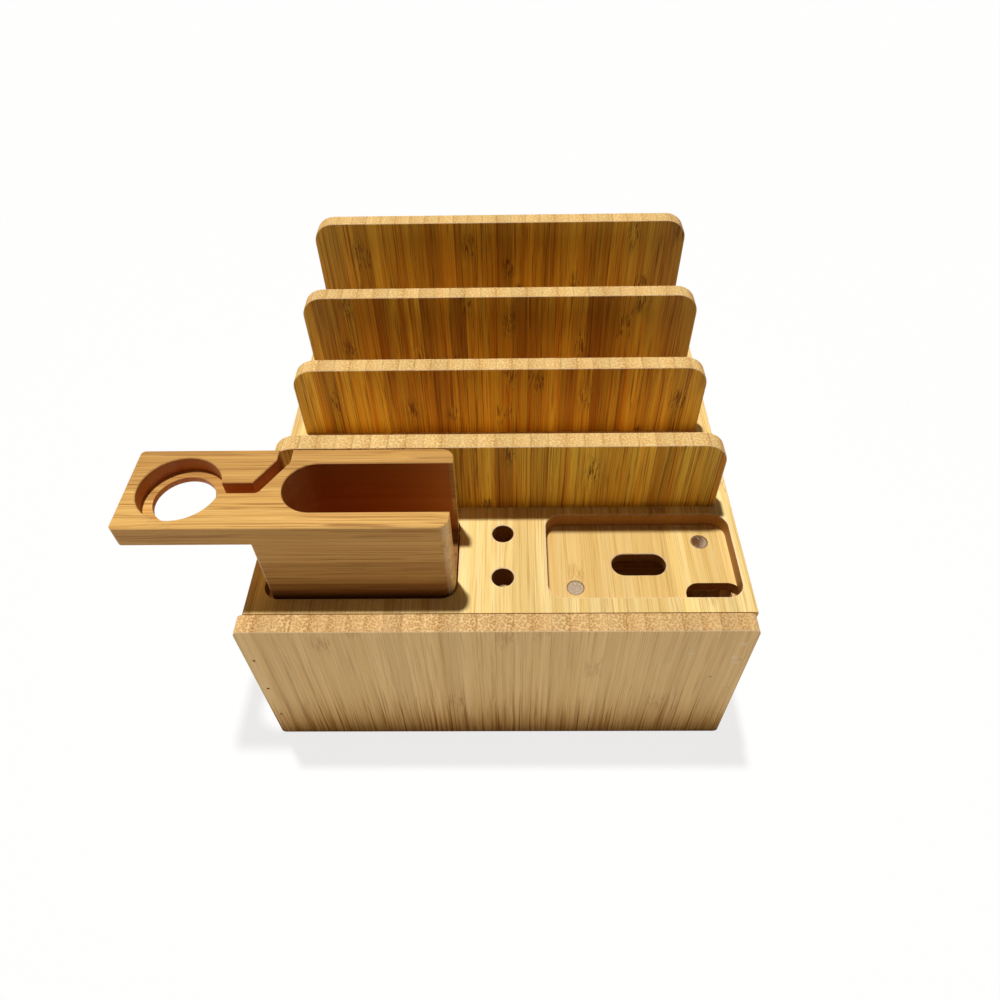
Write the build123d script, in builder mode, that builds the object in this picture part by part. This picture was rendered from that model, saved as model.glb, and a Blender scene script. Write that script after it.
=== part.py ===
from build123d import *

import os

os.makedirs("parts", exist_ok=True)

# Bamboo desk organizer for charging: a pinned box, a loose lid that carries four upright
# dividers and two shallow pockets, and a watch and earbud stand that drops into the left pocket.
# Millimetres. +X is the user's right, +Y is towards the back, +Z is up. The origin is the middle
# of the box's underside.

# Boards and edges
board = 8.0
side_board = 7.0
bottom_thickness = 6.0
edge_round = 0.6
rim_break = 0.3
panel_top_radius = 2.8
panel_foot_radius = 2.0
box_height = 86.5

# Pockets in the lid
pocket_length = 76.5
pocket_width = 42.0
pocket_depth = 7.0
pocket_floor = 5.0
pocket_corner = 6.5
pocket_setback = 7.0
left_margin = 6.2
right_margin = 3.4
pen_strip = 35.7

# Oblong cable holes: one in the middle and one in the front right corner of each pocket, and
# one in each bay between two dividers
oblong_length = 22.6
oblong_width = 10.9
corner_hole_end_inset = 9.75
corner_hole_side_inset = 6.0

# Relief in the right side panel's inner top edge, under the right pocket's corner hole
relief_reach = 2.85
relief_width = 16.0
relief_height = 15.0

# Pen holes
pen_hole_radius = 4.5
pen_hole_spacing = 22.3

# Dividers, from the front one to the rear one
divider_setback = 4.5
divider_inset = 7.5
divider_corner = 10.0
groove_depth = 4.0
front_bay = 39.1
middle_bay = 30.1
rear_bay = 39.2
rear_margin = 3.3
front_divider_rise = 36.2
second_divider_rise = 37.1
third_divider_rise = 48.4
rear_divider_rise = 59.1

# The lid's place on the box: its open joints and its sideways play
deck_joint = 0.4
side_reveal = 0.85
lid_offset = 1.4
lid_play = 1.7
batten_width = 10.0
batten_height = 8.0
batten_end_gap = 24.0

# Disc magnets in the pocket floors and in the foot of the stand
magnet_radius = 3.4
magnet_thickness = 2.0
magnet_clearance = 0.2
magnet_recess = 0.15
magnet_end_inset = 11.45
magnet_side_inset = 9.4

# Headless pins that hold the boards together
pin_radius = 0.6
pin_clearance = 0.05
pin_length = 20.0
batten_pin_length = 10.0
pin_set_depth = 0.8
wall_pin_height_shares = (0.25, 0.57, 0.88)
floor_pin_place_shares = (0.15, 0.5, 0.85)
batten_pin_place_shares = (0.25, 0.6, 0.9)

# Cable outlet in the back panel
outlet_width = 60.0
outlet_height = 20.0
outlet_corner = 6.0
outlet_sill = 6.0

# Watch and earbud stand
stand_right_gap = 0.6
stand_left_gap = 3.7
stand_side_gap = 1.4
stand_block_height = 39.5
stand_corner = 4.5
stand_left_corner = 1.2
arm_corner = 2.0
stand_floor = 8.0
arm_thickness = 9.0
arm_overhang = 48.3
recess_end_wall = 4.35
recess_side_wall = 4.05
recess_depth = 6.6
recess_ledge = 3.95
channel_width = 5.0
channel_run = 8.0
earbud_slot_width = 24.2
earbud_slot_end_wall = 9.7
notch_width = 5.3
notch_depth = 8.7
notch_inset = 7.8
plug_hole_length = 15.0
plug_hole_width = 9.0
foot_channel_depth = 5.5

# Every cut runs this far past the face that it leaves by
overrun = 1.0

# Sizes that follow from the ones above
deck_thickness = pocket_depth + pocket_floor
deck_width = left_margin + 2 * pocket_length + pen_strip + right_margin
deck_length = (pocket_setback + pocket_width + divider_setback + 4 * board
               + front_bay + middle_bay + rear_bay + rear_margin)
box_width = deck_width + 2 * side_reveal
inner_width = box_width - 2 * side_board
inner_depth = deck_length + 2 * deck_joint
box_depth = inner_depth + 2 * board
side_height = box_height - deck_thickness
divider_width = deck_width - 2 * divider_inset
pin_row = (box_width - side_board) / 2

deck_front = -deck_length / 2
pocket_y = deck_front + pocket_setback + pocket_width / 2
deck_left = lid_offset - deck_width / 2
left_pocket_x = deck_left + left_margin + pocket_length / 2
pen_x = deck_left + left_margin + pocket_length + pen_strip / 2
right_pocket_x = deck_left + left_margin + pocket_length + pen_strip + pocket_length / 2
pocket_centres = [(left_pocket_x, pocket_y), (right_pocket_x, pocket_y)]
corner_hole_y = pocket_y - pocket_width / 2 + corner_hole_side_inset
corner_hole_places = [(pocket_x + pocket_length / 2 - corner_hole_end_inset, corner_hole_y)
                      for pocket_x, _ in pocket_centres]

magnet_dx = pocket_length / 2 - magnet_end_inset
magnet_dy = pocket_width / 2 - magnet_side_inset
seat_radius = magnet_radius + magnet_clearance
seat_depth = magnet_thickness + magnet_recess

bays = (front_bay, middle_bay, rear_bay)
divider_rises = (front_divider_rise, second_divider_rise, third_divider_rise, rear_divider_rise)
divider_fronts = [deck_front + pocket_setback + pocket_width + divider_setback]
for bay in bays:
    divider_fronts.append(divider_fronts[-1] + board + bay)
bay_centres = [(lid_offset, front + board + bay / 2) for front, bay in zip(divider_fronts, bays)]

stand_right = left_pocket_x + pocket_length / 2 - stand_right_gap
block_length = pocket_length - stand_right_gap - stand_left_gap
block_x = stand_right - block_length / 2
stand_depth = pocket_width - 2 * stand_side_gap
recess_radius = stand_depth / 2 - recess_side_wall
puck_hole_radius = recess_radius - recess_ledge
arm_length = block_length + arm_overhang
arm_x = stand_right - arm_length / 2
recess_x = stand_right - arm_length + recess_end_wall + recess_radius
notch_x = stand_right - block_length + notch_inset
notch_y = pocket_y + stand_depth / 2 - notch_depth + notch_width / 2
slot_length = block_length - earbud_slot_end_wall
batten_length = inner_depth - 2 * batten_end_gap

# Planes: outer faces of the walls look outwards, so a board is extruded inwards from its face
front_face = Plane.XZ.offset(box_depth / 2)
back_face = Plane(origin=(0, box_depth / 2, 0), x_dir=(-1, 0, 0), z_dir=(0, 1, 0))
left_face = Plane(origin=(-box_width / 2, 0, 0), x_dir=(0, -1, 0), z_dir=(-1, 0, 0))
right_face = Plane(origin=(box_width / 2, 0, 0), x_dir=(0, 1, 0), z_dir=(1, 0, 0))
deck_top = Plane.XY.offset(box_height)
deck_underside = Plane.XY.offset(side_height)
batten_face = Plane(origin=(0, 0, side_height - batten_height), x_dir=(1, 0, 0), z_dir=(0, 0, -1))
pocket_face = Plane.XY.offset(box_height - pocket_depth)
block_top = Plane.XY.offset(box_height - pocket_depth + stand_block_height)
arm_top = block_top.offset(arm_thickness)


def wall_pin_spots():
    """Places of the pins in the front and back panels, seen on their outer faces."""
    return [(side * pin_row, share * side_height) for side in (-1, 1) for share in wall_pin_height_shares]


def floor_pin_spots():
    """Places of the pins that hold the bottom panel, seen on a side panel's outer face."""
    return [((share - 1 / 2) * inner_depth, bottom_thickness / 2) for share in floor_pin_place_shares]


def batten_pin_spots(sides):
    """Places of the pins in the battens, seen from below, where the local y axis runs to the front."""
    return [(batten_x(side), (1 / 2 - share) * batten_length)
            for side in sides for share in batten_pin_place_shares]


def batten_x(side):
    return lid_offset + side * (inner_width / 2 - lid_play - batten_width / 2)


def bore_pins(face, spots, length):
    """Cuts pin holes into the piece being built, straight in from the given face."""
    with BuildSketch(face) as holes:
        with Locations(*spots):
            Circle(pin_radius + pin_clearance)
    extrude(holes.sketch, amount=-(pin_set_depth + length), mode=Mode.SUBTRACT)


def pins(face, spots, length):
    """A group of headless pins, each set a little below the given face."""
    with BuildPart() as group:
        with BuildSketch(face.offset(-pin_set_depth)):
            with Locations(*spots):
                Circle(pin_radius)
        extrude(amount=-length)
    return group


def round_slot(start, end, width):
    """A round-ended slot in the sketch being drawn, between the centres of its two ends."""
    middle = ((start[0] + end[0]) / 2, (start[1] + end[1]) / 2)
    SlotCenterPoint(middle, end, width)


def end_panel(face, has_outlet):
    """The front or the back panel: the box's full width and height, pinned to the side panels."""
    with BuildPart() as panel:
        with BuildSketch(face) as outline:
            with Locations((0, box_height / 2)):
                Rectangle(box_width, box_height)
            fillet(outline.vertices().group_by(Axis.Y)[-1], panel_top_radius)
            fillet(outline.vertices().group_by(Axis.Y)[0], panel_foot_radius)
        extrude(amount=-board)
        outer_side = panel.faces().filter_by(Axis.Y).sort_by(Axis((0, 0, 0), face.z_dir))[-1]
        fillet(outer_side.edges(), edge_round)
        bore_pins(face, wall_pin_spots(), pin_length)
        if has_outlet:
            with BuildSketch(face):
                with Locations((0, bottom_thickness + outlet_sill + outlet_height / 2)):
                    RectangleRounded(outlet_width, outlet_height, outlet_corner)
            extrude(amount=-board, mode=Mode.SUBTRACT)
    return panel


def side_panel(face, has_relief):
    """A side panel: it stands between the front and back panels, under the edge of the deck."""
    with BuildPart() as panel:
        with BuildSketch(face):
            with Locations((0, side_height / 2)):
                Rectangle(inner_depth, side_height)
        extrude(amount=-side_board)
        for end_face in (front_face, back_face):
            bore_pins(end_face, wall_pin_spots(), pin_length)
        bore_pins(face, floor_pin_spots(), pin_length)
        if has_relief:
            with BuildSketch(deck_underside) as relief:
                with Locations((inner_width / 2, corner_hole_y)):
                    SlotOverall(relief_width, 2 * relief_reach, rotation=90)
            extrude(relief.sketch, amount=-relief_height, mode=Mode.SUBTRACT)
    return panel


def divider(front_y, rise):
    """An upright board, glued into its groove in the deck."""
    with BuildPart() as upright:
        with BuildSketch(Plane.XZ.offset(-front_y)) as outline:
            with Locations((lid_offset, box_height - groove_depth)):
                Rectangle(divider_width, groove_depth + rise, align=(Align.CENTER, Align.MIN))
            fillet(outline.vertices().group_by(Axis.Y)[-1], divider_corner)
        extrude(amount=-board)
        face_edges = upright.faces().filter_by(Axis.Y).edges()
        fillet(face_edges - face_edges.group_by(Axis.Z)[0], edge_round)
    return upright


def batten(side):
    """A strip under the deck that keeps the lid between the side panels."""
    with BuildPart() as strip:
        with BuildSketch(batten_face):
            with Locations((batten_x(side), 0)):
                Rectangle(batten_width, batten_length)
        extrude(amount=-batten_height)
        bore_pins(batten_face, batten_pin_spots([side]), batten_pin_length)
    return strip


def magnet(x, y, base_z):
    with BuildPart() as disc:
        with BuildSketch(Plane.XY.offset(base_z)):
            with Locations((x, y)):
                Circle(magnet_radius)
        extrude(amount=magnet_thickness)
    return disc


def magnet_spots(centre_x):
    """Front left and rear right of a pocket, the same in the pocket floors and the stand's foot."""
    return {
        "front": (centre_x - magnet_dx, pocket_y - magnet_dy),
        "rear": (centre_x + magnet_dx, pocket_y + magnet_dy),
    }


# The box
front_panel = end_panel(front_face, has_outlet=False)
back_panel = end_panel(back_face, has_outlet=True)
left_side_panel = side_panel(left_face, has_relief=False)
right_side_panel = side_panel(right_face, has_relief=True)

with BuildPart() as bottom_panel:
    with BuildSketch(Plane.XY):
        Rectangle(inner_width, inner_depth)
    extrude(amount=bottom_thickness)
    for side_face in (left_face, right_face):
        bore_pins(side_face, floor_pin_spots(), pin_length)

front_pins = pins(front_face, wall_pin_spots(), pin_length)
back_pins = pins(back_face, wall_pin_spots(), pin_length)
left_bottom_pins = pins(left_face, floor_pin_spots(), pin_length)
right_bottom_pins = pins(right_face, floor_pin_spots(), pin_length)

# The lid
with BuildPart() as deck_board:
    with BuildSketch(deck_underside):
        with Locations((lid_offset, 0)):
            Rectangle(deck_width, deck_length)
    extrude(amount=deck_thickness)
    fillet(deck_board.faces().sort_by(Axis.Z)[-1].edges().filter_by(Axis.Y), edge_round)

    with BuildSketch(pocket_face):
        with Locations(*pocket_centres):
            RectangleRounded(pocket_length, pocket_width, pocket_corner)
    extrude(amount=pocket_depth + overrun, mode=Mode.SUBTRACT)

    with BuildSketch(deck_top):
        with Locations((pen_x, pocket_y - pen_hole_spacing / 2), (pen_x, pocket_y + pen_hole_spacing / 2)):
            Circle(pen_hole_radius)
        with Locations(*bay_centres):
            SlotOverall(oblong_length, oblong_width)
    extrude(amount=-deck_thickness, mode=Mode.SUBTRACT)
    chamfer(deck_board.faces().sort_by(Axis.Z)[-1].inner_wires().edges(), rim_break)

    with BuildSketch(pocket_face):
        with Locations(*pocket_centres):
            SlotOverall(oblong_length, oblong_width)
    extrude(amount=-pocket_floor, mode=Mode.SUBTRACT)
    floors = deck_board.faces().filter_by(pocket_face)
    for floor in floors:
        chamfer(floor.inner_wires().edges(), rim_break)

    with BuildSketch(pocket_face):
        with Locations(*corner_hole_places):
            SlotOverall(oblong_length, oblong_width)
    extrude(amount=-pocket_floor, mode=Mode.SUBTRACT)

    with BuildSketch(pocket_face):
        for pocket_x, _ in pocket_centres:
            with Locations(*magnet_spots(pocket_x).values()):
                Circle(seat_radius)
    extrude(amount=-seat_depth, mode=Mode.SUBTRACT)

    with BuildSketch(deck_top):
        with Locations(*[(lid_offset, front + board / 2) for front in divider_fronts]):
            Rectangle(divider_width, board)
    extrude(amount=-groove_depth, mode=Mode.SUBTRACT)
    bore_pins(batten_face, batten_pin_spots((-1, 1)), batten_pin_length)

dividers = [divider(front, rise) for front, rise in zip(divider_fronts, divider_rises)]
left_batten = batten(-1)
right_batten = batten(1)
batten_pins = pins(batten_face, batten_pin_spots((-1, 1)), batten_pin_length)


def cut_earbud_slot_and_notch(face, slot_depth, notch_reach):
    """Cuts the earbud case slot, open at its right end, and the cable notch in the rear face."""
    slot_end_x = stand_right - slot_length + earbud_slot_width / 2
    with BuildSketch(face) as slot:
        round_slot((slot_end_x, pocket_y), (slot_end_x + slot_length, pocket_y), earbud_slot_width)
    extrude(slot.sketch, amount=-slot_depth, mode=Mode.SUBTRACT)
    with BuildSketch(face) as notch:
        round_slot((notch_x, notch_y), (notch_x, notch_y + notch_depth), notch_width)
    extrude(notch.sketch, amount=-notch_reach, mode=Mode.SUBTRACT)


# The stand
with BuildPart() as stand_block:
    with BuildSketch(pocket_face) as block_outline:
        with Locations((block_x, pocket_y)):
            Rectangle(block_length, stand_depth)
        fillet(block_outline.vertices().group_by(Axis.X)[-1], stand_corner)
        fillet(block_outline.vertices().group_by(Axis.X)[0], stand_left_corner)
    extrude(amount=stand_block_height)
    cut_earbud_slot_and_notch(block_top, stand_block_height - stand_floor, stand_block_height)

    with BuildSketch(pocket_face):
        with Locations((left_pocket_x, pocket_y)):
            SlotOverall(plug_hole_length, plug_hole_width)
    extrude(amount=stand_floor, mode=Mode.SUBTRACT)
    with BuildSketch(pocket_face):
        round_slot((notch_x, notch_y), (left_pocket_x, pocket_y), notch_width)
    extrude(amount=foot_channel_depth, mode=Mode.SUBTRACT)
    with BuildSketch(pocket_face):
        with Locations(*magnet_spots(left_pocket_x).values()):
            Circle(seat_radius)
    extrude(amount=seat_depth, mode=Mode.SUBTRACT)

with BuildPart() as stand_arm:
    with BuildSketch(block_top) as arm_outline:
        with Locations((arm_x, pocket_y)):
            Rectangle(arm_length, stand_depth)
        fillet(arm_outline.vertices().group_by(Axis.X)[-1], stand_corner)
        fillet(arm_outline.vertices().group_by(Axis.X)[0], arm_corner)
    extrude(amount=arm_thickness)
    cut_earbud_slot_and_notch(arm_top, arm_thickness, arm_thickness)

    with BuildSketch(arm_top):
        with Locations((recess_x, pocket_y)):
            Circle(recess_radius)
        round_slot((recess_x, pocket_y), (notch_x - channel_run, pocket_y), channel_width)
        round_slot((notch_x - channel_run, pocket_y), (notch_x, notch_y), channel_width)
    extrude(amount=-recess_depth, mode=Mode.SUBTRACT)
    with BuildSketch(arm_top):
        with Locations((recess_x, pocket_y)):
            Circle(puck_hole_radius)
    extrude(amount=-arm_thickness, mode=Mode.SUBTRACT)
    chamfer(stand_arm.faces().sort_by(Axis.Z)[-1].edges(), rim_break)

pieces = {
    "front_panel": front_panel,
    "back_panel": back_panel,
    "left_side_panel": left_side_panel,
    "right_side_panel": right_side_panel,
    "bottom_panel": bottom_panel,
    "front_pins": front_pins,
    "back_pins": back_pins,
    "left_bottom_pins": left_bottom_pins,
    "right_bottom_pins": right_bottom_pins,
    "deck_board": deck_board,
    "left_batten": left_batten,
    "right_batten": right_batten,
    "batten_pins": batten_pins,
    "stand_block": stand_block,
    "stand_arm": stand_arm,
}
for number, upright in enumerate(dividers, start=1):
    pieces[f"divider_{number}"] = upright

floor_z = box_height - pocket_depth
for pocket_name, pocket_x in (("left_pocket", left_pocket_x), ("right_pocket", right_pocket_x)):
    for place, (x, y) in magnet_spots(pocket_x).items():
        pieces[f"{pocket_name}_{place}_magnet"] = magnet(x, y, floor_z - seat_depth)
for place, (x, y) in magnet_spots(left_pocket_x).items():
    pieces[f"stand_{place}_magnet"] = magnet(x, y, floor_z + magnet_recess)

for name, piece in pieces.items():
    piece.part.label = name
    export_step(piece.part, f"parts/{name}.step")

print(f"box {box_width:.1f} x {box_depth:.1f} x {box_height:.1f} mm, {len(pieces)} pieces")
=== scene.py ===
"""Looks of a bamboo charging station organizer: boards, dividers, stand, magnets and pins."""

import math

import bmesh
import bpy
from mathutils import Matrix, Vector


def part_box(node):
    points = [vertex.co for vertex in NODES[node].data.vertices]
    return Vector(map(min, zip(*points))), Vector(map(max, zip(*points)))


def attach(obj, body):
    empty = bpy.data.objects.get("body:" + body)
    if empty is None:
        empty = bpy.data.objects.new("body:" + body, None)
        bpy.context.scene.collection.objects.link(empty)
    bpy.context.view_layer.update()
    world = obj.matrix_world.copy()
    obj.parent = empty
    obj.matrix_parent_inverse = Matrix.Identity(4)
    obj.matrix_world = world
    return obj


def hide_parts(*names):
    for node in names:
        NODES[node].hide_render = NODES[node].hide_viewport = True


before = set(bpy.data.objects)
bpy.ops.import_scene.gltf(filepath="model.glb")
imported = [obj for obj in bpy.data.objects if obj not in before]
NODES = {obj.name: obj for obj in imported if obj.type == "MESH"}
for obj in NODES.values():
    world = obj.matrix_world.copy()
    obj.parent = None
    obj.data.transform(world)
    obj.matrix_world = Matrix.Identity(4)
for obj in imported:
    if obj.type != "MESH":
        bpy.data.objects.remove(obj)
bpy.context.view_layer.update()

MM = 0.001
SAME_PLACE = 1e-6  # points this close, in metres, are welded into one

# Laminated bamboo, in millimetres
GLUE_LINE = (0.04, 0.26)        # half width of a glue line: full up to here, gone from there
CUT_GLUE_LINE = (0.0, 0.6)      # the same where the strips are cut across
KNUCKLE_STEP = 90               # shortest distance between two knuckles of a strip
KNUCKLE = (1.5, 9.0)            # half height of a knuckle: full up to here, gone from there
KNOT_HALF_WIDTH = 4.6           # of a bold knuckle
MILLED_MARGIN = (1.2, 2.0)      # cut-in places start this far inside a board's outer faces
GRAIN_DEPTH = 0.09              # relief of fibres, pores and seams

# How straight a face looks along an axis, from 0 (edge on) to 1 (square on)
CUT_ACROSS = (0.55, 0.9)        # where the long side of a fibre turns into its cut end
ROUND_STARTS = (0.25, 0.5)      # the round between two faces comes in here
ROUND_ENDS = (0.86, 0.96)       # and fades out here
UPRIGHT_WALL = (0.2, 0.5)       # a wall is below the first, a floor or a top above the second


def shade(red, green, blue):
    """A paint chart's 0 to 255 numbers as the plain light values that a shader takes."""
    def plain(step):
        part = step / 255
        return part / 12.92 if part <= 0.04045 else ((part + 0.055) / 1.055) ** 2.4
    return (plain(red), plain(green), plain(blue), 1.0)


class Amount:
    """A number that changes over a surface. Sums on it add nodes to its recipe."""

    def __init__(self, recipe, socket):
        self.recipe, self.socket = recipe, socket

    def math(self, operation, *terms):
        added = self.recipe.node("ShaderNodeMath", {"operation": operation}, dict(enumerate(terms)))
        return Amount(self.recipe, added.outputs[0])

    def __add__(self, other):
        return self.math("ADD", self, other)

    def __radd__(self, other):
        return self.math("ADD", other, self)

    def __sub__(self, other):
        return self.math("SUBTRACT", self, other)

    def __rsub__(self, other):
        return self.math("SUBTRACT", other, self)

    def __mul__(self, other):
        return self.math("MULTIPLY", self, other)

    def __rmul__(self, other):
        return self.math("MULTIPLY", other, self)

    def __truediv__(self, other):
        return self.math("DIVIDE", self, other)

    def __pow__(self, other):
        return self.math("POWER", self, other)

    def __abs__(self):
        return self.math("ABSOLUTE", self)

    def floor(self):
        return self.math("FLOOR", self)

    def fraction(self):
        return self.math("FRACT", self)

    def least(self, other):
        return self.math("MINIMUM", self, other)

    def most(self, other):
        return self.math("MAXIMUM", self, other)

    def rise(self, low, high):
        """0 below low, 1 above high, and a smooth slope between."""
        added = self.recipe.node(
            "ShaderNodeMapRange", {"interpolation_type": "SMOOTHSTEP"},
            {"Value": self, "From Min": low, "From Max": high})
        return Amount(self.recipe, added.outputs[0])

    def fall(self, low, high):
        """1 below low, 0 above high, and a smooth slope between."""
        return 1 - self.rise(low, high)


def add_node(tree, kind, settings=None, inputs=None):
    """Adds a node to a tree: first its settings, then the value or link of each socket."""
    added = tree.nodes.new(kind)
    for name, value in (settings or {}).items():
        setattr(added, name, value)
    for name, value in (inputs or {}).items():
        if isinstance(value, Amount):
            value = value.socket
        if isinstance(value, bpy.types.NodeSocket):
            tree.links.new(value, added.inputs[name])
        else:
            added.inputs[name].default_value = value
    return added


class Recipe:
    """One finish: a material, or the room's light, whose nodes come from expressions."""

    def __init__(self, name, kept_in=bpy.data.materials):
        self.owner = kept_in.new(name)
        self.owner.use_nodes = True
        self.tree = self.owner.node_tree
        self.tree.nodes.clear()

    def node(self, kind, settings=None, inputs=None):
        return add_node(self.tree, kind, settings, inputs)

    def coordinates(self):
        """The node that tells where a point is, in metres, and which way its face looks."""
        return self.node("ShaderNodeTexCoord")

    def parts(self, vector):
        """The three numbers of a vector."""
        split = self.node("ShaderNodeSeparateXYZ", inputs={0: vector})
        return [Amount(self, out) for out in split.outputs]

    def vector(self, x, y, z):
        return self.node("ShaderNodeCombineXYZ", inputs={0: x, 1: y, 2: z}).outputs[0]

    def millimetres(self):
        """Where a point is on the organizer, in millimetres."""
        scaled = self.node("ShaderNodeVectorMath", {"operation": "SCALE"},
                           {0: self.coordinates().outputs["Object"], "Scale": 1 / MM})
        return self.parts(scaled.outputs[0])

    def noise(self, vector, scale, detail=2.0, rough=0.5, twist=0.0):
        """A cloudy number round a half."""
        added = self.node("ShaderNodeTexNoise", None, {
            "Vector": vector, "Scale": scale, "Detail": detail,
            "Roughness": rough, "Distortion": twist})
        return Amount(self, added.outputs[0])

    def dice(self, vector):
        """Three even random numbers for each whole place."""
        thrown = self.node("ShaderNodeTexWhiteNoise", {"noise_dimensions": "3D"},
                           {"Vector": vector})
        split = self.node("ShaderNodeSeparateColor", inputs={0: thrown.outputs["Color"]})
        return [Amount(self, out) for out in split.outputs]

    def mix(self, share, first, second, way="MIX"):
        """A share of the second colour over the first."""
        added = self.node("ShaderNodeMix", {"data_type": "RGBA", "blend_type": way},
                          {0: share, 6: first, 7: second})
        return added.outputs[2]

    def bump(self, height, depth):
        """Relief from a height of 0 to 1, which stands for a depth in millimetres."""
        return self.node("ShaderNodeBump", None, {
            "Height": height, "Distance": depth * MM, "Strength": 1.0}).outputs[0]

    def finish(self, colour, roughness, normal, metallic=0.0, constants=None):
        """Ends the recipe in a shader, and gives its material."""
        shader = self.node("ShaderNodeBsdfPrincipled", None, {
            "Base Color": colour, "Roughness": roughness, "Metallic": metallic,
            "Normal": normal, **(constants or {})})
        self.node("ShaderNodeOutputMaterial", None, {"Surface": shader.outputs[0]})
        return self.owner


def bamboo(name, grain, across, tones, strip=7.2, layer=20.0, shift=0.0, layer_shift=0.5, seed=1.0,
           strip_play=0.16, lines=0.4, streaks=0.3, seams=0.5, knuckles=0.4, edge_highlight=0.6,
           only_upright_highlight=False, darker_foot=None, calm_top=1.0, shaded_recesses=None, face_shade=0.0, rear_shade=None,
           marks=(), knots=()):
    """Laminated bamboo as a solid: strips glued side by side, with fibres that run along
    the grain, dots where they are cut across, and the knuckles of the cane here and there.

    The fibres follow the grain axis, and the strips lie side by side along the across axis.
    strip and layer are a strip's width and depth in millimetres, and their shifts are shares
    of a strip. strip_play, lines, streaks, seams and knuckles say how strong each is, and
    edge_highlight how strong the painted highlight on rounded edges is. darker_foot: the
    height below which the darkening is full, the height where it is gone, its share; on the
    stand it is painted shade. calm_top: how strong lines are away from the darker foot.
    shaded_recesses: the box of a board that has places cut into it, and the height of its
    top; their floors and walls take painted shade. face_shade: how much its broad faces take
    painted shade. rear_shade: where, on the third axis, painted shade starts and where it is full.
    marks: each one's x, z, size, tone and share. knots: each one's x, z and half height."""
    r = Recipe(name)
    place = dict(zip("xyz", r.millimetres()))
    facing = dict(zip("xyz", r.parts(r.coordinates().outputs["Normal"])))
    through = next(axis for axis in "xyz" if axis not in (grain, across))
    wide, deep, along = place[across], place[through], place[grain]
    ends = abs(facing[grain]).rise(*CUT_ACROSS)

    # Strips: each has its own tone, and is denser towards the outer wall of the cane
    strip_at = wide / strip + shift
    layer_at = deep / layer + layer_shift
    tone, hue, luck = r.dice(r.vector(strip_at.floor(), layer_at.floor(), seed))
    inside = strip_at.fraction()
    side_gap = inside.least(1 - inside) * strip
    layer_gap = layer_at.fraction()
    layer_gap = layer_gap.least(1 - layer_gap) * layer
    gap = side_gap.least(layer_gap)
    turned = (luck - 0.5).rise(-0.01, 0.01)
    dense = inside * turned + (1 - inside) * (1 - turned)
    dense = dense * dense

    # A darker foot, painted shade on the stand, brings out lines and seams that are calmer above it
    footing = 0.0
    if darker_foot:
        foot, top, amount = darker_foot
        footing = place["z"].fall(foot, top)
    calm = calm_top + footing * (1.5 - calm_top)

    # Glue lines come and go along the joints of the strips
    glue_line = r.noise(r.vector(wide * 0.3 + luck * 9, deep * 0.3, along * 0.02), 1.0)
    drawn = glue_line.rise(0.42, 0.66).most(footing * luck.rise(0.2, 0.8))
    full, gone = GLUE_LINE
    seam = gap.fall(full, gone + footing * 0.35) * drawn * seams * calm
    cut_seam = gap.fall(*CUT_GLUE_LINE) * ends * (0.1 + luck * 0.22)

    # Fibres: every strip has its own, and they wander a little along the grain
    wave = r.noise(r.vector(wide * 0.05 + luck * 31, deep * 0.05, along * 0.02), 1.0) - 0.5
    wide_run, deep_run = wide + wave * 1.4 + tone * 53, deep + wave * 1.2 + hue * 47

    def fibre(width, stretch, detail=2.0, rough=0.5, twist=0.0, offset=0.0):
        """Noise that is narrow across the strip and drawn out along it."""
        at = r.vector(wide_run * width, deep_run * width, along * stretch + offset)
        return r.noise(at, 1.0, detail, rough, twist)

    broad = fibre(0.3, 0.005, 2.0, 0.6)
    fine = fibre(2.0, 0.012, 3.0, 0.75)
    hair = fibre(3.8, 0.03, 1.0)
    vein = abs(fibre(1.1, 0.004, 1.0, offset=5) - 0.5).fall(0.0, 0.07)
    vein = vein * fibre(0.5, 0.02).rise(0.45, 0.58)
    streak = fibre(1.15, 0.007, 2.0, 0.65, offset=9)
    streak = (streak + footing * 0.13 - (1 - calm_top) * 0.1).rise(0.58, 0.68)
    streak = streak * fine.rise(0.34, 0.6)
    bundles = r.node("ShaderNodeTexVoronoi", {"voronoi_dimensions": "2D"}, {
        "Vector": r.vector(wide_run, deep_run, 0.0), "Scale": 0.95, "Randomness": 0.95})
    from_bundle = Amount(r, bundles.outputs["Distance"])
    dots = from_bundle.fall(0.16, 0.5) * (0.5 + dense * 0.5)

    # Knuckles: a short patch of tangled fibre with pale and dark threads
    step = KNUCKLE_STEP + luck * KNUCKLE_STEP
    knot = along + tone * 400 + (fibre(0.5, 0.1) - 0.5) * 18
    knot_gap = abs((knot / step).fraction() - 0.5) * step
    patch = knot_gap.fall(*KNUCKLE) * hue.rise(0.5, 0.6) * knuckles
    for knot_x, knot_z, reach in knots:
        # The boldest knuckles, each on the strip where it stands out
        aside, above = (place["x"] - knot_x) / KNOT_HALF_WIDTH, (place["z"] - knot_z) / reach
        off = (aside ** 2.0 + above ** 2.0) ** 0.5
        patch = patch.most((off + (broad - 0.5) * 0.8).fall(0.2, 1.1))
    tangle = fibre(1.5, 0.13, 3.0, 0.7, 1.0)

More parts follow.
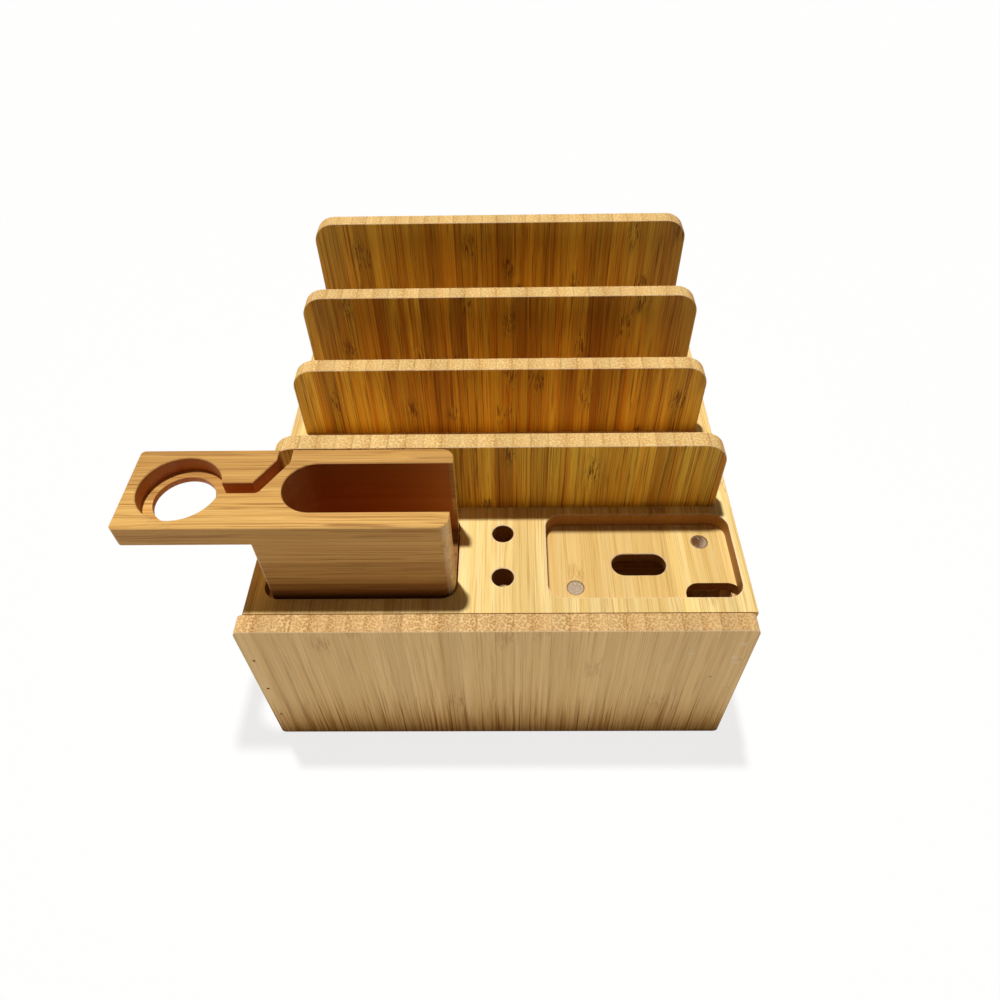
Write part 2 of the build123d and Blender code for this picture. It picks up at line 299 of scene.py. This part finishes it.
    # The long side of the fibres, and their cut ends
    side = r.mix(broad.rise(0.3, 0.7) * 0.7 + dense * 0.3, tones["pale"], tones["deep"])
    side = r.mix(fine.rise(0.42, 0.68) * calm * lines, side, tones["line"])
    side = r.mix(vein * calm * lines, side, tones["streak"])
    side = r.mix(streak * calm * streaks, side, tones["streak"])
    side = r.mix(patch * tangle.rise(0.3, 0.5) * 0.5, side, tones["pale"])
    side = r.mix(patch * tangle.rise(0.42, 0.6) * 0.95, side, tones["streak"])
    cut = r.mix(fine.rise(0.3, 0.6) * 0.4 + dense * 0.6, tones["end"], tones["end_deep"])
    cut = r.mix(from_bundle.rise(0.46, 0.72) * (0.1 + luck * 0.5), cut, tones["end_pale"])
    cut = r.mix(dots, cut, tones["end_dot"])
    colour = r.mix(ends, side, cut)

    # Each strip is lighter or darker than the next, and a little warmer or cooler
    play = 1 + (tone - 0.5) * (strip_play - ends * (strip_play - 0.15)) + (hair - 0.5) * 0.24
    tint = (tone - 0.7) * strip_play * (1 - ends)
    strip_tone = r.vector(play, play + tint * 0.25, play + tint * 0.5)
    colour = r.mix(1.0, colour, strip_tone, "MULTIPLY")
    colour = r.mix(seam.most(cut_seam), colour, tones["glue"])

    # Painted shade on the broad faces, a darker foot, a painted highlight on rounded edges, painted
    # shade towards the back and in cut-in places, and marks
    # Painted shade: the broad faces darker
    if face_shade:
        colour = r.mix(abs(facing[through]).rise(0.6, 0.95) * face_shade, colour, tones["face_shade"])
    # Darker towards the foot; on the stand this is painted shade
    if darker_foot:
        colour = r.mix(footing * footing * amount * (1 - ends), colour, tones["foot"])
    # Painted highlight on the rounds between faces, in patches
    across_edge = abs(facing[through])
    patchy = r.noise(r.vector(*place.values()), 0.3, 3.0).rise(0.2, 0.5)
    edge = across_edge.rise(*ROUND_STARTS) * across_edge.fall(*ROUND_ENDS) * patchy
    if only_upright_highlight:
        edge = edge * (1 - abs(facing["z"]).rise(*UPRIGHT_WALL) * 0.8)
    colour = r.mix(edge * edge_highlight, colour, tones["edge"])
    # Painted shade, deepening towards the back
    if rear_shade:
        colour = r.mix(deep.rise(*rear_shade) * (1 - ends) * 0.24, colour, tones["streak"])
    if shaded_recesses:
        # Cut-in places: painted shade, a tone darker on their floors and darker still on their
        # walls
        (low, high), top_at = shaded_recesses
        within = (place["x"] - low.x / MM).least(high.x / MM - place["x"])
        within = within.least(place["y"] - low.y / MM).least(high.y / MM - place["y"])
        within = within.rise(*MILLED_MARGIN)
        wall = abs(facing["z"]).fall(*UPRIGHT_WALL)
        sunk = place["z"].fall(top_at - 2, top_at - 1)
        colour = r.mix(within * sunk * 0.3, colour, tones["line"])
        colour = r.mix(within * wall * (0.9 - fine * 0.3), colour, tones["wall_shade"])
    for mark_x, mark_z, size, mark, share in marks:
        off = ((place["x"] - mark_x) ** 2.0 + ((place["z"] - mark_z) * 1.4) ** 2.0) ** 0.5
        spot = (off + (hair - 0.5) * size * 1.5).fall(size * 0.4, size)
        colour = r.mix(spot * share, colour, mark)

    height = fine * 0.5 + hair * 0.3 - seam * 0.9 - dots * (0.15 + ends * 0.5) - vein * 0.3
    rough = 0.56 - fine * 0.12 + ends * 0.12 + seam * 0.2 - edge * 0.1
    return r.finish(colour, rough, r.bump(height, GRAIN_DEPTH),
                    constants={"Specular IOR Level": 0.16})


def nickel(name, centre):
    """Plated disc magnet: fine rubbed scratches, a dull rim darkened as painted shade, and a few
    spots of dirt.
    """
    r = Recipe(name)
    moved = r.node("ShaderNodeMapping", {"vector_type": "POINT"}, {
        "Vector": r.coordinates().outputs["Object"], "Location": [-c for c in centre]}).outputs[0]
    x, y, z = r.parts(moved)
    from_centre = (x * x + y * y) ** 0.5 / MM
    rim_starts, rim_full = 2.85, 3.1
    rim = from_centre.rise(rim_starts, rim_full)
    rub = r.noise(r.vector(x * 900, y * 5200, z * 900), 1.0, 3.0)
    spots = r.noise(r.vector(x * 700, y * 700, z * 700), 1.0, 3.0).rise(0.58, 0.72)
    colour = r.mix(rub.rise(0.3, 0.7), shade(172, 148, 122), shade(204, 182, 154))
    colour = r.mix(spots * 0.4, colour, shade(120, 100, 78))
    # Painted shade: the rim darker, as in the shade of the gap round the magnet
    colour = r.mix(rim * 0.7, colour, shade(104, 74, 48))
    rough = 0.14 + rub * 0.08 + rim * 0.25 + spots * 0.2
    return r.finish(colour, rough, r.bump(rub - spots * 0.4, 0.01), metallic=1.0)


def pin_steel():
    """Wire pins, driven just under the face: dull steel, darkened by glue and dust."""
    r = Recipe("pin_wire_steel")
    grit = r.noise(r.vector(*r.millimetres()), 2.6, 3.0)
    colour = r.mix(grit.rise(0.35, 0.65), shade(92, 80, 66), shade(140, 128, 110))
    return r.finish(colour, 0.45 + grit * 0.25, r.bump(grit, 0.05), metallic=grit.rise(0.2, 0.4))


def pin_places(row):
    """The lowest and highest corner of each pin of a row, read from its node's mesh.
    They are sorted by place, so that each pin gets the same play in every run."""
    mesh = bmesh.new()
    mesh.from_mesh(NODES[row].data)
    bmesh.ops.remove_doubles(mesh, verts=mesh.verts, dist=SAME_PLACE)
    places, left = [], set(mesh.verts)
    while left:
        pin, todo = set(), [left.pop()]
        while todo:
            vert = todo.pop()
            pin.add(vert)
            for edge in vert.link_edges:
                other = edge.other_vert(vert)
                if other in left:
                    left.discard(other)
                    todo.append(other)
        points = [vert.co.copy() for vert in pin]
        places.append((Vector([min(p[i] for p in points) for i in range(3)]),
                       Vector([max(p[i] for p in points) for i in range(3)])))
    mesh.free()
    return sorted(places, key=lambda corners: tuple(corners[0]))


def pin_tree():
    """A tree that sets one headless pin, a wire with broken edges, on every point it is given.
    It comes with the names that its inputs are called by."""
    tree = bpy.data.node_groups.new("headless_pins", "GeometryNodeTree")
    face = tree.interface
    face.new_socket("Places", in_out="INPUT", socket_type="NodeSocketGeometry")
    sizes, sides = {}, 20
    for label, start in (("Radius", 0.6), ("Length", 20.0), ("Broken edge", 0.15), ("Play", 0.1)):
        socket = face.new_socket(label, in_out="INPUT", socket_type="NodeSocketFloat")
        socket.default_value = start * MM
        sizes[label] = socket.identifier
    for label, kind in (("Turn", "NodeSocketVector"), ("Material", "NodeSocketMaterial")):
        sizes[label] = face.new_socket(label, in_out="INPUT", socket_type=kind).identifier
    face.new_socket("Pins", in_out="OUTPUT", socket_type="NodeSocketGeometry")

    def add(kind, settings=None, inputs=None):
        return add_node(tree, kind, settings, inputs)

    given = add("NodeGroupInput")
    straight = add("ShaderNodeMath", {"operation": "MULTIPLY_ADD"}, {
        0: given.outputs["Broken edge"], 1: -2.0, 2: given.outputs["Length"]})
    shank = add("GeometryNodeMeshCylinder", {"fill_type": "NONE"}, {
        "Vertices": sides, "Radius": given.outputs["Radius"], "Depth": straight.outputs[0]})
    tip_radius = add("ShaderNodeMath", {"operation": "SUBTRACT"}, {
        0: given.outputs["Radius"], 1: given.outputs["Broken edge"]})
    half = add("ShaderNodeMath", {"operation": "MULTIPLY"}, {0: straight.outputs[0], 1: 0.5})
    top = add("GeometryNodeMeshCone", {"fill_type": "NGON"}, {
        "Vertices": sides, "Radius Top": tip_radius.outputs[0],
        "Radius Bottom": given.outputs["Radius"], "Depth": given.outputs["Broken edge"]})
    lift = add("ShaderNodeCombineXYZ", inputs={2: half.outputs[0]})
    top_up = add("GeometryNodeTransform", inputs={
        "Geometry": top.outputs["Mesh"], "Translation": lift.outputs[0]})
    top_down = add("GeometryNodeTransform", inputs={
        "Geometry": top_up.outputs[0], "Rotation": (math.pi, 0.0, 0.0)})
    joined = add("GeometryNodeJoinGeometry")
    for part in (shank.outputs["Mesh"], top_up.outputs[0], top_down.outputs[0]):
        tree.links.new(part, joined.inputs[0])
    welded = add("GeometryNodeMergeByDistance", inputs={
        "Geometry": joined.outputs[0], "Distance": SAME_PLACE})
    play = add("FunctionNodeRandomValue", {"data_type": "FLOAT"}, {2: 0.0, 3: 1.0, "Seed": 7})
    sunk = add("ShaderNodeMath", {"operation": "MULTIPLY"}, {
        0: play.outputs[1], 1: given.outputs["Play"]})
    along = add("ShaderNodeCombineXYZ", inputs={2: sunk.outputs[0]})
    turned = add("ShaderNodeVectorRotate", {"rotation_type": "EULER_XYZ"}, {
        "Vector": along.outputs[0], "Rotation": given.outputs["Turn"]})
    moved = add("GeometryNodeSetPosition", inputs={
        "Geometry": given.outputs["Places"], "Offset": turned.outputs[0]})
    placed = add("GeometryNodeInstanceOnPoints", inputs={
        "Points": moved.outputs[0], "Instance": welded.outputs[0],
        "Rotation": given.outputs["Turn"]})
    real = add("GeometryNodeRealizeInstances", inputs={"Geometry": placed.outputs[0]})
    dressed = add("GeometryNodeSetMaterial", inputs={
        "Geometry": real.outputs[0], "Material": given.outputs["Material"]})
    add("NodeGroupOutput", inputs={0: dressed.outputs[0]})
    return tree, sizes


def set_round_pieces(name, tree, sizes, centres, radius, length, play, inward, material):
    """Grows one plain mesh from the tree: a round piece at each centre, lying along inward."""
    base = bpy.data.meshes.new(name + "_places")
    base.from_pydata(centres, [], [])
    maker = bpy.data.objects.new(name + "_maker", base)
    bpy.context.scene.collection.objects.link(maker)
    grown = maker.modifiers.new("grown", "NODES")
    grown.node_group = tree
    for label, value in (("Radius", radius), ("Length", length), ("Broken edge", radius / 4),
                         ("Play", play), ("Turn", list(inward.to_track_quat("Z", "Y").to_euler())),
                         ("Material", material)):
        grown[sizes[label]] = value
    shown = maker.evaluated_get(bpy.context.evaluated_depsgraph_get())
    piece = bpy.data.objects.new(name, bpy.data.meshes.new_from_object(shown))
    bpy.context.scene.collection.objects.link(piece)
    bpy.data.objects.remove(maker)
    return piece


def set_pins(tree, sizes, row, body, inward, material):
    """The pins of one row: wire set a little unevenly in the holes of its CAD node."""
    inward = Vector(inward)
    places = pin_places(row)
    axis = [abs(c) for c in inward].index(1)
    size = places[0][1] - places[0][0]
    radius, length, deepest = size[(axis + 1) % 3] / 2, size[axis], 0.12 * MM
    piece = set_round_pieces(row + "_wire", tree, sizes, [(low + high) / 2 for low, high in places],
                             radius, length, deepest, inward, material)
    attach(piece, body)
    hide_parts(row)


def fill_right_holes(tree, sizes, material):
    """Putty over the front panel's right-hand pins, a hair under the face."""
    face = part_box("front_panel")[0].y
    places = [(low + high) / 2 for low, high in pin_places("front_pins") if low.x > 0]
    radius, depth, under = 0.64 * MM, 0.7 * MM, 0.02 * MM
    centres = [Vector((p.x, face + depth / 2 + under, p.z)) for p in places]
    putty = set_round_pieces("pin_hole_putty", tree, sizes, centres, radius, depth, 0.0,
                             Vector((0, 1, 0)), material)
    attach(putty, "base")


def dress(material, *nodes):
    """Each node keeps its shape, and takes a finish of its own."""
    for node in nodes:
        NODES[node].data.materials[0] = material


def lay_table():
    """A white table that keeps a light shadow, and looks white to the camera."""
    reach, height = 3.0, -0.05 * MM
    corners = [(x * reach, y * reach, height) for x, y in ((-1, -1), (1, -1), (1, 1), (-1, 1))]
    mesh = bpy.data.meshes.new("table")
    mesh.from_pydata(corners, [], [(0, 1, 2, 3)])
    table = bpy.data.objects.new("table", mesh)
    bpy.context.scene.collection.objects.link(table)
    r = Recipe("table_white")
    cloudy = r.noise(r.coordinates().outputs["Object"], 3.0)
    plain = r.node("ShaderNodeBsdfDiffuse", None, {
        "Color": r.mix(cloudy, shade(250, 250, 249), shade(253, 253, 253))})
    glow = r.node("ShaderNodeEmission", None, {"Color": (1, 1, 1, 1), "Strength": 1.0})
    ray = r.node("ShaderNodeLightPath")
    seen = Amount(r, ray.outputs["Is Camera Ray"]) * 0.8
    both = r.node("ShaderNodeMixShader", None, {0: seen, 1: plain.outputs[0], 2: glow.outputs[0]})
    r.node("ShaderNodeOutputMaterial", None, {"Surface": both.outputs[0]})
    mesh.materials.append(r.owner)


def light_studio(sky, sun, spread, ahead):
    """A compact lamp that shines ahead, in a pale room that looks white to the camera."""
    lamp = bpy.data.lights.new("overhead_lamp", "SUN")
    lamp.energy = sun
    lamp.angle = math.radians(spread)
    hung = bpy.data.objects.new("overhead_lamp", lamp)
    hung.rotation_euler = Vector(ahead).to_track_quat("-Z", "Y").to_euler()
    bpy.context.scene.collection.objects.link(hung)

    r = Recipe("pale_room", bpy.data.worlds)
    ray = r.node("ShaderNodeLightPath").outputs
    seen = Amount(r, ray["Is Camera Ray"])
    seen = seen.most(ray["Is Glossy Ray"]).most(ray["Is Transmission Ray"])
    dim = r.node("ShaderNodeBackground", None, {"Color": (1.0, 0.84, 0.62, 1), "Strength": sky})
    white = r.node("ShaderNodeBackground", None, {"Color": (1, 1, 1, 1), "Strength": 1.0})
    both = r.node("ShaderNodeMixShader", None, {0: seen, 1: dim.outputs[0], 2: white.outputs[0]})
    r.node("ShaderNodeOutputWorld", None, {"Surface": both.outputs[0]})
    bpy.context.scene.world = r.owner


def set_camera(lens, down, turn, lean, place):
    """The photograph's view: degrees down, turned and leaning, from a place in millimetres."""
    down, turn, lean = (math.radians(angle) for angle in (down, turn, lean))
    ahead = Vector((math.sin(turn) * math.cos(down), math.cos(turn) * math.cos(down),
                    -math.sin(down)))
    level = Vector((math.cos(turn), -math.sin(turn), 0))
    up = level.cross(ahead)
    right = math.cos(lean) * level + math.sin(lean) * up
    up = math.cos(lean) * up - math.sin(lean) * level
    data = bpy.data.cameras.new("camera")
    data.lens, data.sensor_width, data.clip_start = lens, 36, 0.01
    camera = bpy.data.objects.new("camera", data)
    turned = Matrix((right, up, -ahead)).transposed().to_4x4()
    camera.matrix_world = Matrix.Translation(Vector(place) * MM) @ turned
    bpy.context.scene.collection.objects.link(camera)
    bpy.context.scene.camera = camera


# Tones of the bamboo, board by board
# The edge tone is the painted highlight on rounded edges
cut_tones = {"end": shade(246, 208, 138), "end_deep": shade(228, 182, 108),
             "end_dot": shade(208, 156, 86), "end_pale": shade(252, 220, 156),
             "glue": shade(136, 84, 34), "edge": shade(255, 228, 200),
             # The last tone here is the painted shade on the walls of cut-in places
             "foot": shade(184, 122, 38), "wall_shade": shade(152, 88, 22)}
deck_tones = {**cut_tones, "pale": shade(255, 230, 162), "deep": shade(240, 206, 124),
              "line": shade(216, 168, 84), "streak": shade(186, 132, 52)}
panel_tones = {**cut_tones, "pale": shade(251, 212, 146), "deep": shade(241, 198, 128),
               "line": shade(216, 165, 92), "streak": shade(168, 104, 38),
               "end": shade(230, 191, 132), "end_deep": shade(208, 164, 101),
               "end_dot": shade(178, 131, 74)}
# The dividers' side tones are deeper and more saturated than the same bamboo elsewhere: painted
# shade on their shaded faces
divider_tones = {**cut_tones, "pale": shade(255, 216, 80), "deep": shade(224, 154, 36),
                 "line": shade(182, 106, 16), "streak": shade(112, 50, 6)}
# On the stand the foot tone is painted shade, and so are the tones of its broad faces and slot
# walls
stand_tones = {**cut_tones, "pale": shade(236, 188, 106), "deep": shade(214, 160, 82),
               "line": shade(190, 132, 60), "streak": shade(146, 90, 34),
               "foot": shade(108, 56, 14), "face_shade": shade(160, 104, 46),
               "wall_shade": shade(188, 98, 25)}

# The lid's board and its battens
deck_look = {"seed": 3, "strip_play": 0.24, "lines": 0.5, "streaks": 0.3, "seams": 0.3,
             "knuckles": 0.8, "edge_highlight": 0.95}
deck_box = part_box("deck_board")
deck_bamboo = bamboo("deck_bamboo", "y", "x", deck_tones, **deck_look,
                     shaded_recesses=(deck_box, deck_box[1].z / MM))
batten_bamboo = bamboo("batten_bamboo", "y", "x", deck_tones, **deck_look)

# The box's upright boards, darker at the foot, and pale rubs near the front's right-hand pins
panel_look = {"strip": 7.1, "strip_play": 0.12, "lines": 0.6, "streaks": 0.8, "seams": 0.8,
              "knuckles": 0.5, "edge_highlight": 0.3, "darker_foot": (0.0, 46.0, 0.42), "calm_top": 0.5}
pale_rub, dark_speck = shade(250, 226, 196), shade(110, 66, 30)
panel_marks = ((95.1, 77.0, 2.2, pale_rub, 0.5), (93.6, 67.0, 1.8, pale_rub, 0.7),
               (95.1, 63.0, 1.6, pale_rub, 0.6), (76.0, 70.0, 1.6, pale_rub, 0.5),
               (68.6, 62.0, 1.4, pale_rub, 0.35), (87.0, 51.7, 0.9, dark_speck, 0.8))
panel_bamboo = bamboo("panel_bamboo", "z", "x", panel_tones, **panel_look, seed=11,
                      marks=panel_marks)
side_bamboo = bamboo("side_bamboo", "z", "y", panel_tones, **panel_look, seed=12)
floor_bamboo = bamboo("floor_bamboo", "x", "y", panel_tones, strip=7.1, seed=13)

# The dividers: side faces in deeper, more saturated tones as painted shade, each a single layer of
# strips, and painted shade deepening towards the back
divider_knots = ((-72.0, 105.0, 11.0), (-38.5, 100.0, 12.0), (40.0, 108.0, 13.0),
                 (6.0, 121.0, 12.0), (-70.0, 131.0, 9.0), (-14.0, 133.0, 10.0),
                 (68.0, 138.0, 12.0), (-20.0, 98.0, 6.0))
divider_bamboo = bamboo("divider_bamboo", "z", "x", divider_tones, strip=7.1, layer=45.0,
                        layer_shift=2 / 3, seed=21, strip_play=0.62, lines=0.7, streaks=0.75,
                        seams=0.5, knuckles=1.0, edge_highlight=0.35, rear_shade=(-40.0, 42.0),
                        knots=divider_knots)

# The stand: block and arm are alike, and the slot runs through the arm into the block
# The stand's broad faces and its foot are darkened as painted shade
stand_look = {"strip": 7.0, "shift": 0.6, "layer_shift": 0.53, "seed": 31, "strip_play": 0.45,
              "lines": 0.75, "streaks": 0.7, "seams": 0.5, "edge_highlight": 0.3,
              "only_upright_highlight": True, "face_shade": 0.42, "darker_foot": (80.0, 110.0, 0.85)}
arm_box, block_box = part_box("stand_arm"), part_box("stand_block")
block_top = block_box[1].z / MM
block_bamboo = bamboo("stand_block_bamboo", "x", "z", stand_tones, **stand_look,
                      shaded_recesses=(block_box, block_top))
arm_bamboo = bamboo("stand_arm_bamboo", "x", "z", stand_tones, **stand_look,
                    shaded_recesses=(arm_box, block_top))

dress(panel_bamboo, "front_panel", "back_panel")
dress(side_bamboo, "left_side_panel", "right_side_panel")
dress(floor_bamboo, "bottom_panel")
dress(deck_bamboo, "deck_board")
dress(batten_bamboo, "left_batten", "right_batten")
dress(divider_bamboo, "divider_1", "divider_2", "divider_3", "divider_4")
dress(block_bamboo, "stand_block")
dress(arm_bamboo, "stand_arm")
for magnet in ("left_pocket_front_magnet", "left_pocket_rear_magnet", "right_pocket_front_magnet",
               "right_pocket_rear_magnet", "stand_front_magnet", "stand_rear_magnet"):
    low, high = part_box(magnet)
    dress(nickel(magnet + "_nickel", (low + high) / 2), magnet)

tree, sizes = pin_tree()
wire = pin_steel()
for row, body, inward in (("front_pins", "base", (0, 1, 0)), ("back_pins", "base", (0, -1, 0)),
                          ("left_bottom_pins", "base", (1, 0, 0)),
                          ("right_bottom_pins", "base", (-1, 0, 0)),
                          ("batten_pins", "lid", (0, 0, 1))):
    set_pins(tree, sizes, row, body, inward, wire)
fill_right_holes(tree, sizes, panel_bamboo)

lay_table()
# The lamp hangs nearly overhead, a little behind the box and to its left
light_studio(sky=0.06, sun=3.05, spread=3.2, ahead=(0.13, -0.195, -1))
set_camera(lens=27.235, down=48.522, turn=-1.228, lean=-1.284,
           place=(6.154, -257.995, 332.211))
bpy.context.scene.view_settings.view_transform = "Standard"
